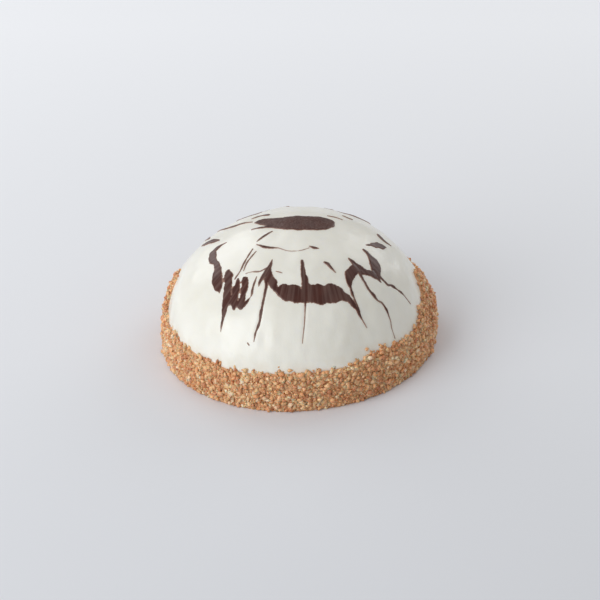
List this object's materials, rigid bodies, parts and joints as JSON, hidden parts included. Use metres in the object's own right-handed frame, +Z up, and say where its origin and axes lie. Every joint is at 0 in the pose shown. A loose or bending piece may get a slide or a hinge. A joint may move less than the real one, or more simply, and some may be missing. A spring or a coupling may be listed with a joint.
{
  "type": "ice cream cake",
  "caption": "Whole dome-shaped ice cream cake: ivory glaze with dark feathered chocolate, and a coat of toasted nut crumbs round its foot.",
  "frame": {"origin": "middle of the flat base, on the surface that the cake stands on", "axes": "+Z up through the top of the dome; the side with the long feathered drags faces -Y"},
  "size_m": [0.1775, 0.1763, 0.0841],
  "materials": {
    "crumb_coat": "toasted chopped nut crumbs, golden to mid brown, rough and uneven",
    "glaze": "smooth glossy ivory white icing",
    "chocolate": "glossy dark brown chocolate, feathered into the icing"
  },
  "bodies": {
    "root": {"cake": "crumb_coat", "glaze": "glaze"}
  },
  "joints": []
}
